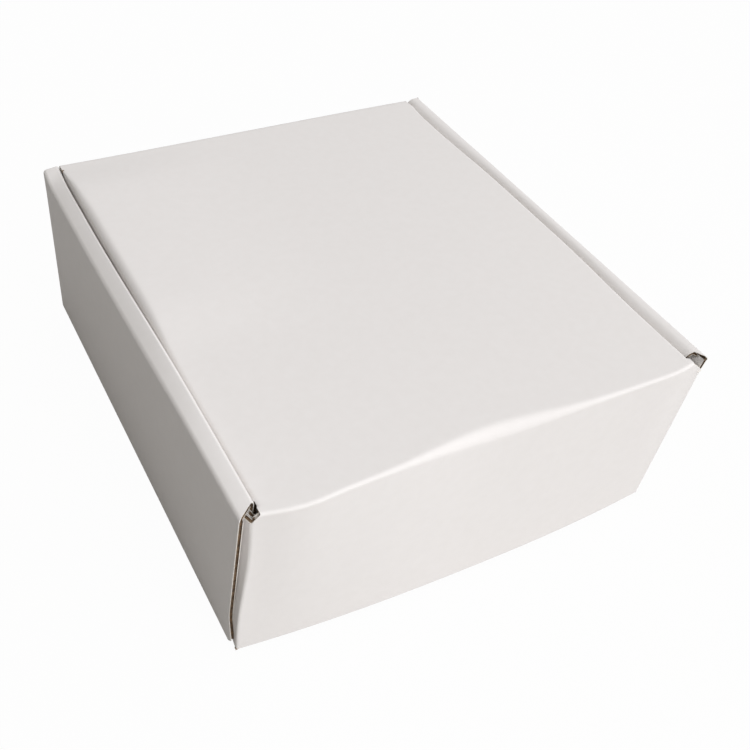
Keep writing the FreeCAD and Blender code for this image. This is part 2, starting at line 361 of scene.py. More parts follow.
def cut_across(bm, y):
    """Divides a sheet along a line across the box."""
    bmesh.ops.bisect_plane(bm, geom=bm.verts[:] + bm.edges[:] + bm.faces[:], dist=MERGE,
                           plane_co=(0, y, 0), plane_no=(0, 1, 0))


def share(value):
    """A value held between 0 and 1."""
    return min(1.0, max(0.0, value))


def squeeze(value, end, new_end, fade=FADE):
    """Moves a sheet's end from one place to another, with the shift fading out over a length."""
    return value + (new_end - end) * max(0.0, 1 - abs(value - end) / fade)


def smooth(value, low, high):
    """Rises softly from 0 to 1 between two values."""
    t = share((value - low) / (high - low))
    return t * t * (3 - 2 * t)


def hump(value, middle, width):
    """Soft hump of height 1 about a middle."""
    return exp(-((value - middle) / width) ** 2)


def along(y):
    """Place along the box: 0 at the front, 1 at the rear."""
    return (y - FRONT) / (REAR - FRONT)


def roll(distance, radius):
    """A point's depth behind and drop below a crease, for its distance along the unrolled sheet.
    The distance is negative on the first side of the crease, and positive on the second."""
    if abs(distance) >= radius:
        return max(0.0, -distance), max(0.0, distance)
    angle = (distance / radius + 1) * pi / 4
    return radius * (1 - sin(angle)), radius * (1 - cos(angle))


def lean(point):
    """Moves a point as the box leans: its right and front walls stand in at the foot."""
    settling = bpy.context.scene.box_settling
    low = 1 - point.z / TOP
    point.x -= settling.lean_right * low * smooth(point.x, -HALF_WIDTH, HALF_WIDTH)
    point.y += settling.lean_front * low * smooth(-point.y, -REAR, -FRONT)


def settle(point):
    """Moves a point from its place in a new box to its place in this used one."""
    settling = bpy.context.scene.box_settling
    t = along(point.y)
    side = abs(point.x)
    inside = share((HALF_WIDTH - side) / (HALF_WIDTH - LID_HALF))
    edge = smooth(side, EDGE_FROM * LID_HALF, LID_HALF) * inside
    if point.x < 0:
        wall = 1.0 if side > LID_HALF + ON_STRIP else 0.0
        strip = share((side - LID_HALF - TILT_START) / TILT_WIDTH)
        out = settling.left_out * edge + settling.left_gap * wall * inside * smooth(1 - t, *SPREAD_REAR)
        point.x -= out * smooth(t, *SPREAD_FRONT) * min(1.0, point.z / LID_TOP)
        front, rear = settling.left_tilt_front, settling.left_tilt
        tilt = front + (rear - front) * smooth(t, *TILT_FRONT) - TILT_LOSS * rear * smooth(t, *TILT_REAR)
        drop = settling.left_drop * smooth(t, *DROP_FRONT) * (1 - DROP_LOSS * smooth(t, *DROP_REAR))
        point.z -= (drop * wall + tilt * strip) * point.z / TOP
    else:
        swell = smooth(t, *SWELL) * smooth(1 - t, *SWELL)
        point.x += settling.right_out * swell * edge * smooth(point.z, SWELL_FROM * TOP, LID_TOP)
    lean(point)


def lid_lift(x, y):
    """How far the lid stands above its plane at a place, from the pull of its creases."""
    settling = bpy.context.scene.box_settling
    t = along(y)
    rear = smooth(t, *RISE_FRONT) * smooth(1 - t, *RISE_REAR)
    left = smooth(-x, RISE_FROM * LID_HALF, LID_HALF)
    right = smooth(x, -LID_HALF, LID_HALF)
    return settling.lid_rise * left * rear + settling.lid_tilt * right


def face_outwards(bm):
    """Turns a sheet's faces so that most of them look away from the middle of the box."""
    bm.normal_update()
    outward = sum(face.calc_area() * face.normal.dot(face.calc_center_median() - MIDDLE) for face in bm.faces)
    if outward < 0:
        bmesh.ops.reverse_faces(bm, faces=bm.faces[:])


def thicken(bm):
    """Gives a sheet the board's thickness, with a core sunk between two paper faces at each cut edge."""
    sizes = bpy.context.scene.board_sizes
    face_outwards(bm)
    sheet = set(bm.faces)
    lining = set(of_kind(bmesh.ops.solidify(bm, geom=bm.faces[:], thickness=sizes.board)["geom"], BMFace))
    rim = [face for face in bm.faces if face not in sheet and face not in lining]
    for face in bm.faces:
        face.smooth = True
    papers = bmesh.ops.inset_region(bm, faces=rim, thickness=sizes.liner, depth=0,
                                    use_boundary=True, use_even_offset=False)["faces"]
    steps = bmesh.ops.inset_region(bm, faces=rim, thickness=CORE_STEP, depth=-sizes.sink,
                                   use_boundary=True, use_even_offset=False)["faces"]
    for face in papers:
        face.material_index = EDGE
        face.smooth = False
    for face in steps + rim:
        face.material_index = CORE
        face.smooth = False
    for edge in bm.edges:
        edge.smooth = all(face.smooth for face in edge.link_faces)


def keep_inside(bm):
    """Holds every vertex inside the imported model's box."""
    for vert in bm.verts:
        vert.co = [min(high, max(low, value)) for low, value, high in zip(CAD_LOW, vert.co, CAD_HIGH)]


def finish_piece(bm, name, board_of):
    """Makes a mesh object of a bmesh, and gives it its papers and, when one is named, its body."""
    keep_inside(bm)
    mesh = bpy.data.meshes.new(name)
    bm.normal_update()
    bm.to_mesh(mesh)
    bm.free()
    for material in board_materials():
        mesh.materials.append(material)
    piece = bpy.data.objects.new(name, mesh)
    bpy.context.scene.collection.objects.link(piece)
    if board_of:
        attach(piece, board_of)
    return piece


def socket(group, name, kind, way, default=None):
    """Adds a named input or output to a node group."""
    made = group.interface.new_socket(name=name, in_out=way, socket_type=kind)
    if default is not None:
        made.default_value = default
    return made


def paper_grain_group():
    """Soft cloudy patches and fine fibres of a paper face, as a mask and a height."""
    group = bpy.data.node_groups.get("paper_grain")
    if group:
        return group
    group = bpy.data.node_groups.new("paper_grain", "ShaderNodeTree")
    socket(group, "Patch Scale", "NodeSocketFloat", "INPUT", 60.0)
    socket(group, "Fibre Scale", "NodeSocketFloat", "INPUT", 900.0)
    socket(group, "Patches", "NodeSocketFloat", "OUTPUT")
    socket(group, "Height", "NodeSocketFloat", "OUTPUT")
    nodes, links = group.nodes, group.links
    entry = nodes.new("NodeGroupInput")
    leave = nodes.new("NodeGroupOutput")
    place = nodes.new("ShaderNodeTexCoord")
    patches = nodes.new("ShaderNodeTexNoise")
    fibres = nodes.new("ShaderNodeTexNoise")
    patches.inputs["Detail"].default_value = 5
    fibres.inputs["Detail"].default_value = 3
    links.new(place.outputs["Object"], patches.inputs["Vector"])
    links.new(place.outputs["Object"], fibres.inputs["Vector"])
    links.new(entry.outputs["Patch Scale"], patches.inputs["Scale"])
    links.new(entry.outputs["Fibre Scale"], fibres.inputs["Scale"])
    links.new(patches.outputs["Fac"], leave.inputs["Patches"])
    links.new(fibres.outputs["Fac"], leave.inputs["Height"])
    return group


def paper_material(name, light, dark, patch_scale, contrast, bump):
    """Matt paper whose colour wanders between two tones, with a fibrous surface."""
    material = bpy.data.materials.new(name)
    material.use_nodes = True
    nodes, links = material.node_tree.nodes, material.node_tree.links
    shader = nodes["Principled BSDF"]
    shader.inputs["Roughness"].default_value = 0.72
    shader.inputs["Specular IOR Level"].default_value = 0.28
    grain = nodes.new("ShaderNodeGroup")
    grain.node_tree = paper_grain_group()
    grain.inputs["Patch Scale"].default_value = patch_scale
    spread = nodes.new("ShaderNodeMapRange")
    spread.inputs["From Min"].default_value = 0.5 - contrast
    spread.inputs["From Max"].default_value = 0.5 + contrast
    mix = nodes.new("ShaderNodeMix")
    mix.data_type = "RGBA"
    mix.inputs["A"].default_value = (*light, 1)
    mix.inputs["B"].default_value = (*dark, 1)
    height = nodes.new("ShaderNodeBump")
    height.inputs["Strength"].default_value = 1
    height.inputs["Distance"].default_value = bump
    links.new(grain.outputs["Patches"], spread.inputs["Value"])
    links.new(spread.outputs["Result"], mix.inputs["Factor"])
    links.new(mix.outputs["Result"], shader.inputs["Base Color"])
    links.new(grain.outputs["Height"], height.inputs["Height"])
    links.new(height.outputs["Normal"], shader.inputs["Normal"])
    return material


def board_materials():
    """The board's three finishes: its white faces, their cut edge, and its brown core."""
    found = [bpy.data.materials.get(name) for name in ("white_liner", "liner_cut", "kraft_core")]
    if all(found):
        return found
    colours = bpy.context.scene.paper_colours
    return [paper_material("white_liner", colours.white, colours.shade,
                           patch_scale=190, contrast=0.30, bump=0.02 * MM),
            paper_material("liner_cut", colours.edge, colours.white,
                           patch_scale=400, contrast=0.2, bump=0.05 * MM),
            # The core's second tone is painted shade of the flutes' hollows, laid in random patches
            paper_material("kraft_core", colours.kraft, colours.kraft_hollow_shade,
                           patch_scale=350, contrast=0.15, bump=0.2 * MM)]


def dust_flat(sizes):
    """Half the width of a front or rear wall between the creases of its dust flaps."""
    return HALF_WIDTH - 2 * sizes.board - 2 * sizes.gap - sizes.crease


def side_profile(bm, sizes, way, outer_roll, inner_roll):
    """Half the tray's section, drawn from an inner wall's foot to the middle of the bottom."""
    inner = inner_face(sizes)
    foot = sizes.board + FOOT_PLAY
    y = FRONT + sizes.setback
    r, s = outer_roll, inner_roll
    low = sizes.crease
    tall = TOP - foot - s
    vert = bm.verts.new((way * inner, y, foot))
    vert = run_on(bm, vert, (0, 0, tall), round(tall / PATCH))
    vert = bend_on(bm, vert, (way * (inner + s), y, TOP - s), (0, 1, 0), 90 * way)
    vert = run_on(bm, vert, (way * (HALF_WIDTH - r - inner - s), 0, 0), STRIP_COLUMNS)
    vert = bend_on(bm, vert, (way * (HALF_WIDTH - r), y, TOP - r), (0, 1, 0), 90 * way)
    vert = run_on(bm, vert, (0, 0, sizes.corner_height + r - TOP), WALL_ROWS)
    vert = run_on(bm, vert, (0, 0, low - sizes.corner_height), CORNER_ROWS)
    vert = bend_on(bm, vert, (way * (HALF_WIDTH - low), y, low), (0, 1, 0), 90 * way)
    for stop in (inner + sizes.board + sizes.tab_gap, dust_flat(sizes), inner - sizes.tab_gap):
        vert = run_on(bm, vert, (way * stop - vert.co.x, 0, 0))
    run_on(bm, vert, (-vert.co.x, 0, 0), HALF_BOTTOM_COLUMNS)


def inner_face(sizes):
    """Distance of an inner wall's bare face from the middle."""
    return HALF_WIDTH - 4 * sizes.board - 2 * sizes.gap - WALL_PLAY


def side_end(point, sizes, rear):
    """How far a side wall, its strip or the bottom ends from the front or rear."""
    x = abs(point.x)
    if point.z < sizes.crease and x < dust_flat(sizes) + HAIR:
        return sizes.crease + (0 if rear else sizes.board + sizes.gap)
    inwards = share((HALF_WIDTH - x) / SLANT_WIDTH)
    low = 1 - point.z / TOP
    on_wall = min(1.0, END_PACE * low)
    if rear:
        cut = max(0.0, 1 - point.z / REAR_CUT_HEIGHT)
        outer = sizes.strip_rear + sizes.strip_rear_slant * inwards
        return outer + (sizes.setback - outer) * on_wall + REAR_CUT_DEPTH * cut
    cut = max(0.0, 1 - point.z / sizes.corner_height)
    if point.x < 0:
        end = sizes.strip_front_left + sizes.setback_left * low - sizes.toe * hump(point.z, *TOE)
    else:
        inwards = min(1.0, RIGHT_SLANT_PACE * inwards)
        end = sizes.strip_front_right + (sizes.setback_right - sizes.strip_front_right) * on_wall
    return end + sizes.strip_front_slant * inwards + (sizes.corner_depth - sizes.setback_left) * cut


def tab_middles(sizes):
    """Middle of each of the two lock tabs along a side."""
    start = FRONT + sizes.strip_front_right + sizes.strip_front_slant
    reach = REAR - sizes.strip_rear - sizes.strip_rear_slant - start
    return [start + reach * part for part in (0.25, 0.75)]


def cut_slots_and_tabs(bm, sizes):
    """Cuts the slots in the bottom, and draws the lock tabs down through them."""
    foot = sizes.board + FOOT_PLAY
    near = inner_face(sizes) - sizes.tab_gap
    far = inner_face(sizes) + sizes.board + sizes.tab_gap
    for middle in tab_middles(sizes):
        for half in (sizes.tab / 2, sizes.tab / 2 + sizes.tab_gap):
            for way in (-1, 1):
                cut_across(bm, middle + way * half)
        slot = []
        for face in bm.faces:
            centre = face.calc_center_median()
            beside = abs(centre.y - middle) < sizes.tab / 2 + sizes.tab_gap
            if beside and near < abs(centre.x) < far and centre.z < ON_BOTTOM:
                slot.append(face)
        bmesh.ops.delete(bm, geom=slot, context="FACES")
        tab = edges_where(bm, lambda co: abs(co.z - foot) < ON_LINE and abs(co.y - middle) < sizes.tab / 2)
        draw_out(bm, tab, [(0, 0, TAB_FOOT - foot)])


def build_tray(context):
    """Bottom, side walls, strips, inner walls and lock tabs, folded from one sheet."""
    sizes = context.scene.board_sizes
    bm = bmesh.new()
    side_profile(bm, sizes, 1, sizes.sharp_roll, sizes.strip_roll)
    side_profile(bm, sizes, -1, sizes.strip_roll_left, sizes.strip_roll_left)
    bmesh.ops.remove_doubles(bm, verts=bm.verts[:], dist=MERGE)
    front = FRONT + sizes.setback
    rear = REAR - sizes.setback
    draw_out(bm, bm.edges[:], rows(rear - front, (0, 1, 0), ROLL_STEPS, ROLL_STEPS))
    cut_slots_and_tabs(bm, sizes)
    for vert in bm.verts:
        if vert.co.y < MIDDLE.y:
            vert.co.y = squeeze(vert.co.y, front, FRONT + side_end(vert.co, sizes, rear=False))
        else:
            vert.co.y = squeeze(vert.co.y, rear, REAR - side_end(vert.co, sizes, rear=True))
    bmesh.ops.recalc_face_normals(bm, faces=bm.faces[:])
    for vert in bm.verts:
        settle(vert.co)
    thicken(bm)
    piece = finish_piece(bm, "tray_board", "tray")
    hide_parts("tray")


def end_wall(bm, sizes, wall, way, top, tip_top):
    """A front or rear wall with its dust flaps, and its crease down to the bottom."""
    flat = dust_flat(sizes)
    r = sizes.crease
    side = flat + r
    reach = sizes.dust_length - r
    vert = bm.verts.new((-side, wall + way * sizes.dust_length, sizes.dust_lift))
    vert = run_on(bm, vert, (0, -way * reach, 0), DUST_COLUMNS)
    vert = bend_on(bm, vert, (-flat, wall + way * r, sizes.dust_lift), (0, 0, 1), 90 * way)
    vert = run_on(bm, vert, (flat - LID_HALF, 0, 0))
    vert = run_on(bm, vert, (2 * LID_HALF, 0, 0), END_WALL_COLUMNS)
    vert = run_on(bm, vert, (flat - LID_HALF, 0, 0))
    vert = bend_on(bm, vert, (flat, wall + way * r, sizes.dust_lift), (0, 0, 1), 90 * way)
    run_on(bm, vert, (0, way * reach, 0), DUST_COLUMNS)
    draw_out(bm, bm.edges[:], rows(top - sizes.dust_lift, (0, 0, 1)))
    if tip_top > top:
        ends = edges_where(bm, lambda co: abs(co.z - top) < ON_LINE and abs(co.x) > flat)
        draw_out(bm, ends, [(0, 0, tip_top - top)])
    for vert in bm.verts:
        height = vert.co.z - sizes.dust_lift
        up = height / (tip_top - sizes.dust_lift)
        cut = max(sizes.dust_slant * up, sizes.dust_slant - height)
        depth = (vert.co.y - wall) * way
        vert.co.y -= way * cut * max(0.0, depth - r) / reach
    foot = edges_where(bm, lambda co: abs(co.z - sizes.dust_lift) < ON_LINE and abs(co.x) < flat)
    foot = draw_out(bm, foot, [(0, 0, r - sizes.dust_lift)])
    bmesh.ops.spin(bm, geom=foot, cent=(0, wall + way * r, r), axis=(1, 0, 0), dvec=(0, 0, 0),
                   angle=radians(90 * way), steps=BEND_PIECES, use_merge=False, use_duplicate=False)
    bmesh.ops.remove_doubles(bm, verts=bm.verts[:], dist=MERGE)
    bmesh.ops.recalc_face_normals(bm, faces=bm.faces[:])


def sink_under_crease(co, wall):
    """Moves the front wall's top out of the way of the rolled front crease."""
    settling = bpy.context.scene.box_settling
    near = smooth(co.z, SINK_FROM, TOP) * (1 - smooth(co.y, wall, wall + SINK_WIDTH))
    co.y += max(0.0, crease_shift(co.x)) * near
    co.z -= (front_roll(co.x) - settling.front_roll + UNDER_CREASE) * near


def ear_flare(sizes, way, z):
    """How far a corner of the closure flap stands inside its ear's layer at a height."""
    if way > 0:
        return -sizes.ear_out_right
    return (sizes.ear_in + sizes.ear_out_left) * smooth(z, *EAR_FLARE) - sizes.ear_out_left


def tuck_in(co, sizes):
    """Moves the front wall's left corner in, away from the closure flap's ear."""
    if co.x < 0:
        near = share(TUCK_PACE * (-co.x / dust_flat(sizes) - TUCK_FROM))
        back = max(0.0, 1 - (co.y - FRONT) / sizes.ear_back_left)
        inside = max(0.0, ear_flare(sizes, -1, co.z)) * near * back
        co.x += TUCK_IN * inside
        co.z -= TUCK_DOWN * inside * smooth(co.z, TUCK_TOP, LID_TOP)


def build_end_walls(context):
    """Front and rear walls with their dust flaps."""
    sizes = context.scene.board_sizes
    top = LID_TOP - sizes.board - sizes.gap
    bm = bmesh.new()
    wall = FRONT + sizes.board + sizes.gap
    end_wall(bm, sizes, wall, 1, top, top)
    for vert in bm.verts:
        sink_under_crease(vert.co, wall)
        tuck_in(vert.co, sizes)
        settle(vert.co)
    thicken(bm)
    finish_piece(bm, "front_wall", "tray")
    bm = bmesh.new()
    seam = HINGE.z - PATCH
    end_wall(bm, sizes, REAR, -1, seam, TOP - sizes.strip_roll - REAR_TIP_PLAY)
    for vert in bm.verts:
        lift_rear(vert.co)
        settle(vert.co)
    thicken(bm)
    finish_piece(bm, "rear_wall", "tray")


def lift_rear(co):
    """Raises the rear wall's top with the lid's tilt."""
    inside = 1 - smooth(abs(co.x), LID_HALF, LID_HALF + EDGE_FADE)
    co.z += lid_lift(co.x, max(co.y, HINGE.y - PATCH)) * inside * min(1.0, co.z / HINGE.z)


def build_rear_crease():
    """Crease between the rear wall and the lid, drawn as it lies with the lid shut; on the box it bends as
    the lid opens.
    """
    start = HINGE.y - PATCH
    bm = bmesh.new()
    vert = bm.verts.new((-LID_HALF, REAR, HINGE.z - PATCH))
    vert = run_on(bm, vert, (0, 0, LID_TOP - REAR_ROLL - vert.co.z), REAR_CREASE_ROWS)
    vert = bend_on(bm, vert, (-LID_HALF, REAR - REAR_ROLL, LID_TOP - REAR_ROLL), (1, 0, 0), 90)
    run_on(bm, vert, (0, start - vert.co.y, 0), REAR_CREASE_ROWS)
    draw_out(bm, bm.edges[:], rows(2 * LID_HALF, (1, 0, 0), (), ROLL_STEPS))
    for vert in bm.verts:
        notch = smooth(vert.co.y, start, start + NOTCH_SIZE)
        vert.co.x -= NOTCH_DEPTH * (notch * smooth(vert.co.x, LID_HALF - NOTCH_SIZE, LID_HALF))
        lift_rear(vert.co)
        settle(vert.co)
    thicken(bm)
    for face in bm.faces:
        if face.material_index == CORE and abs(face.calc_center_median().x) > LID_HALF - CREASE_TIP:
            face.material_index = EDGE
    piece = finish_piece(bm, "rear_crease", None)
    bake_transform(piece)


def side_roll(x, y):
    """Radius of a side crease of the lid at a place along the box."""
    settling = bpy.context.scene.box_settling
    t = along(y)
    swollen = smooth(t, *RISE_FRONT) * smooth(1 - t, *ROLL_REAR) if x < 0 else 0
    radius = settling.lid_roll + (settling.lid_roll_rear - settling.lid_roll) * swollen
    end = min(1.0, max(SMALLEST_ROLL, (HINGE.y - PATCH - y) / ROLL_FADE))
    return radius * end if y > FRONT + ROLL_START else HAIR


def front_roll(x):
    """Radius of the front crease at a place across the box."""
    settling = bpy.context.scene.box_settling
    return settling.front_roll + (settling.front_roll_middle - settling.front_roll) * hump(x, *CREASE_ROUND)


def crease_shift(x):
    """How far the front crease lies back at a place across the box."""
    settling = bpy.context.scene.box_settling
    middle = settling.crease_back_middle * hump(x, *CREASE_MIDDLE)
    corner = settling.crease_corner * hump(abs(x), *CREASE_ENDS)
    return middle + corner - settling.crease_out - settling.crease_dent * hump(x, *CREASE_DENT)


def front_face(x, z):
    """Place of the closure flap's face, for its place across and its height on the flat flap."""
    settling = bpy.context.scene.box_settling
    depth, drop = roll(LID_TOP - z, front_roll(x))
    down = (LID_TOP - z) / (LID_TOP - FLAP_FOOT)
    bow = settling.flap_bow * down * (1 - min(1.0, abs(x) / EAR_X) ** BOW_POWER)
    y = FRONT + depth + crease_shift(x) * (1 - down) - bow
    return y, LID_TOP - drop + lid_lift(x, FRONT) * (1 - down)


def wing_front(z, sizes):
    """Front edge of a wing at a height: the arc in which it clears the front wall as the lid turns."""
    swing = HINGE.y - (FRONT + 2 * sizes.board + sizes.gap + sizes.wing_back)
    return HINGE.y - sqrt(swing ** 2 - (HINGE.z - z) ** 2)


def low_on_wing(co):
    """Whether a place is on the lower part of a wing."""
    return co.z < LID_TOP - WING_LOW and co.y > FRONT + WING_START


def round_corner(bm, centre, radius, angles):
    """Rounds a corner of the wings with a fan of cuts along a circle in side view."""
    for angle in angles:
        normal = Vector((0, cos(radians(angle)), sin(radians(angle))))
        touch = Vector((0, *centre)) + normal * radius
        faces = [face for face in bm.faces if low_on_wing(face.calc_center_median())]
        edges = dict.fromkeys(edge for face in faces for edge in face.edges)
        verts = dict.fromkeys(vert for face in faces for vert in face.verts)
        bmesh.ops.bisect_plane(bm, geom=[*verts, *edges, *faces], dist=MERGE,
                               plane_co=touch, plane_no=normal, clear_outer=True)


def lid_sheet(bm, sizes):
    """Lid, front crease and closure flap, with the wings drawn down from the lid's sides."""
    rear = HINGE.y - PATCH
    vert = bm.verts.new((-LID_HALF, rear, LID_TOP))
    for offset in rows(2 * LID_HALF, (1, 0, 0), ROLL_STEPS, ROLL_STEPS):
        vert = run_on(bm, vert, offset)
    panel = draw_out(bm, bm.edges[:], rows(rear - FRONT, (0, -1, 0), (), ROLL_STEPS))
    draw_out(bm, panel, rows(LID_TOP - FLAP_FOOT, (0, 0, -1), ROLL_STEPS))
    start = wing_front(LID_TOP, sizes)
    cut_across(bm, start)
    for way in (-1, 1):
        side = edges_where(bm, lambda co: co.x * way > LID_HALF - MERGE and co.y > start)
        draw_out(bm, side, rows(LID_TOP - WING_FOOT, (0, 0, -1), ROLL_STEPS))
    for vert in bm.verts:
        if vert.co.z < LID_TOP - MERGE and vert.co.y > FRONT + MERGE:
            vert.co.y = squeeze(vert.co.y, start, wing_front(vert.co.z, sizes))
            low = (LID_TOP - vert.co.z) / (LID_TOP - WING_FOOT)
            vert.co.y = squeeze(vert.co.y, rear, rear - WING_SLANT * low)


def settle_lid(vert):
    """Rolls the sheet at its creases, and moves it as the used box has settled."""
    co = vert.co
    x, y, z = co
    side = -1 if x < 0 else 1
    if y < FRONT + MERGE:
        co.y, co.z = front_face(x, z)
        lean(co)
        return
    on_wing = z < LID_TOP - MERGE
    if on_wing or LID_HALF - abs(x) < side_roll(x, y):
        distance = LID_TOP - z if on_wing else abs(x) - LID_HALF
        depth, drop = roll(distance, side_roll(x, y))
        co.x, co.z = side * (LID_HALF - depth), LID_TOP - drop
    near = max(0.0, 1 - (y - FRONT) / FADE)
    if y < FRONT + front_roll(x):
        depth, drop = roll(FRONT - y, front_roll(x))
        co.y = FRONT + depth
        co.z -= drop
    co.y += crease_shift(x) * near ** 2 * share(1 - (LID_TOP - z) / CREASE_FADE)
    co.z += lid_lift(x, y)
    settle(co)


def build_lid(context):
    """Lid with its wings, the front crease and the closure flap's front, in one sheet."""
    sizes = context.scene.board_sizes
    bm = bmesh.new()
    lid_sheet(bm, sizes)
    front, rear = wing_front(WING_FOOT, sizes), HINGE.y - PATCH - WING_SLANT
    round_corner(bm, (front + FRONT_CORNER, WING_FOOT + FRONT_CORNER), FRONT_CORNER, FRONT_ANGLES)
    round_corner(bm, (rear - REAR_CORNER, WING_FOOT + REAR_CORNER), REAR_CORNER, REAR_ANGLES)
    bmesh.ops.recalc_face_normals(bm, faces=bm.faces[:])
    for vert in bm.verts:
        settle_lid(vert)
    thicken(bm)
    piece = finish_piece(bm, "lid_board", None)
    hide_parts("lid")
    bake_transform(piece)


def ear_end(z, sizes):
    """Rear edge of an ear at a height: the arc in which it clears the strip's end, as the lid turns."""
    swing = HINGE.y - (FRONT + EAR_CLEAR) + sizes.gap
    clear = CREASE.z - sizes.board - sizes.gap
    arc = HINGE.y - sqrt(swing ** 2 - (HINGE.z - z) ** 2)
    under = CREASE.y + sqrt(max(0.0, clear ** 2 - (CREASE.z - z) ** 2))
    wanted = max(arc, FRONT + sizes.ear_top)
    return min(wanted, under, FRONT + sizes.ear_reach)


def ear_sheet(bm, sizes, way):
    """One corner of the closure flap and its ear: flat, then folded back, then cut to its outline."""
    top = LID_TOP - EAR_TOP_PLAY
    wide = EAR_X - LID_HALF
    back = sizes.ear_back_left if way < 0 else sizes.ear_back_right
    slope = sizes.slope_left if way < 0 else sizes.slope_right
    radius = sizes.ear_roll_left if way < 0 else sizes.ear_roll_right
    vert = bm.verts.new((LID_HALF, FRONT, FLAP_FOOT))
    for offset in rows(wide, (1, 0, 0), (), ROLL_STEPS[:8]):
        vert = run_on(bm, vert, offset)
    for offset in rows(sizes.ear_reach, (0, 1, 0), ROLL_STEPS, ()):
        vert = run_on(bm, vert, offset)
    draw_out(bm, bm.edges[:], rows(top - FLAP_FOOT, (0, 0, 1), (), ROLL_STEPS))
    for vert in bm.verts:
        co = vert.co
        flare = ear_flare(sizes, way, co.z)
        corner = EAR_X - flare
        across = LID_HALF + (co.x - LID_HALF) * (corner - LID_HALF) / wide
        height = squeeze(co.z, top, top - slope * (across - LID_HALF), TOP_FADE)
        distance = across - corner
        if co.y > FRONT + MERGE:
            distance = (co.y - FRONT) * (ear_end(height, sizes) - FRONT) / sizes.ear_reach
        depth, drop = roll(distance, radius)
        x = corner - depth + flare * min(1.0, drop / back)
        y, z = front_face(way * (corner - depth), height)
        co.x, co.y, co.z = way * x, y + drop, z
        lean(co)


def build_ears(context):
    """Corners of the closure flap, with the ears that run back inside the side walls."""
    sizes = context.scene.board_sizes
    whole = bmesh.new()
    mesh = bpy.data.meshes.new("ear")
    for way in (-1, 1):
        bm = bmesh.new()
        ear_sheet(bm, sizes, way)
        bmesh.ops.recalc_face_normals(bm, faces=bm.faces[:])
        thicken(bm)
        for face in bm.faces:
            middle = face.calc_center_median()
            fold = EAR_X - ear_flare(sizes, way, middle.z) - sizes.board
            hidden = way > 0 or abs(middle.x) < fold
            if face.material_index == CORE and middle.z > TOP - EAR_TIP and hidden:
                face.material_index = EDGE
        bm.to_mesh(mesh)
        bm.free()
        whole.from_mesh(mesh)
    bpy.data.meshes.remove(mesh)
    piece = finish_piece(whole, "flap_ears", "closure_flap")
    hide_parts("closure_flap")


def math_node(nodes, operation):
    """Adds a node that does one sum."""
    node = nodes.new("ShaderNodeMath")
    node.operation = operation
    return node


def floor_material(stage, colours):
    """White floor that takes a soft shadow and looks nearly white to the camera."""
    material = bpy.data.materials.new("pale_floor")
    material.use_nodes = True
    nodes, links = material.node_tree.nodes, material.node_tree.links
    shader = nodes["Principled BSDF"]
    shader.inputs["Base Color"].default_value = (*colours.floor, 1)
    shader.inputs["Roughness"].default_value = 0.9
    shader.inputs["Specular IOR Level"].default_value = 0.0
    glow = nodes.new("ShaderNodeEmission")
    rays = nodes.new("ShaderNodeLightPath")
    seen = math_node(nodes, "MULTIPLY")
    seen.inputs[1].default_value = stage.floor_glow
    mix = nodes.new("ShaderNodeMixShader")
    links.new(rays.outputs["Is Camera Ray"], seen.inputs[0])
    links.new(seen.outputs["Value"], mix.inputs["Fac"])
    links.new(shader.outputs["BSDF"], mix.inputs[1])
    links.new(glow.outputs["Emission"], mix.inputs[2])
    links.new(mix.outputs["Shader"], nodes["Material Output"].inputs["Surface"])
    return material


def light_from_all_round(scene, stage, colours):
    """Soft light that is stronger from the right and front, and plain white behind the floor to the eye."""
    world = bpy.data.worlds.new("studio")
    scene.world = world
    world.use_nodes = True
    nodes, links = world.node_tree.nodes, world.node_tree.links
    sky = nodes["Background"]
    tint = nodes.new("ShaderNodeMix")
    tint.data_type = "RGBA"
    tint.inputs["A"].default_value = (*colours.sky_dim, 1)
    tint.inputs["B"].default_value = (*colours.sky_bright, 1)
    way = nodes.new("ShaderNodeTexCoord")
    slope = nodes.new("ShaderNodeVectorMath")
    slope.operation = "DOT_PRODUCT"
    slope.inputs[1].default_value = stage.sky_slope
    total = math_node(nodes, "ADD")
    total.inputs[1].default_value = stage.sky
    strength = math_node(nodes, "MAXIMUM")
    strength.inputs[1].default_value = 0.0
    links.new(way.outputs["Generated"], slope.inputs[0])
    links.new(slope.outputs["Value"], total.inputs[0])
    links.new(total.outputs["Value"], strength.inputs[0])
    links.new(strength.outputs["Value"], sky.inputs["Strength"])
    links.new(strength.outputs["Value"], tint.inputs["Factor"])
    links.new(tint.outputs["Result"], sky.inputs["Color"])
    plain = nodes.new("ShaderNodeBackground")
    plain.inputs["Color"].default_value = (1, 1, 1, 1)
    rays = nodes.new("ShaderNodeLightPath")
    seen = math_node(nodes, "MAXIMUM")
    through = math_node(nodes, "MAXIMUM")
    mix = nodes.new("ShaderNodeMixShader")
    links.new(rays.outputs["Is Camera Ray"], seen.inputs[0])
    links.new(rays.outputs["Is Glossy Ray"], seen.inputs[1])
    links.new(seen.outputs["Value"], through.inputs[0])
    links.new(rays.outputs["Is Transmission Ray"], through.inputs[1])
    links.new(through.outputs["Value"], mix.inputs["Fac"])
    links.new(sky.outputs["Background"], mix.inputs[1])
    links.new(plain.outputs["Background"], mix.inputs[2])
    links.new(mix.outputs["Shader"], nodes["World Output"].inputs["Surface"])


# The photograph's camera: its place in metres, two of its axes, its lens and the shift of its frame
CAMERA_PLACE = Vector((-0.2599, -0.4124, 0.4681))
CAMERA_RIGHT = Vector((0.886446, -0.455895, 0.079827))
CAMERA_UP = Vector((0.271764, 0.652311, 0.707555))
CAMERA_LENS = 46.53
CAMERA_SENSOR = 36
CAMERA_NEAR = 0.01
CAMERA_SHIFT = (0.060, 0.0467)


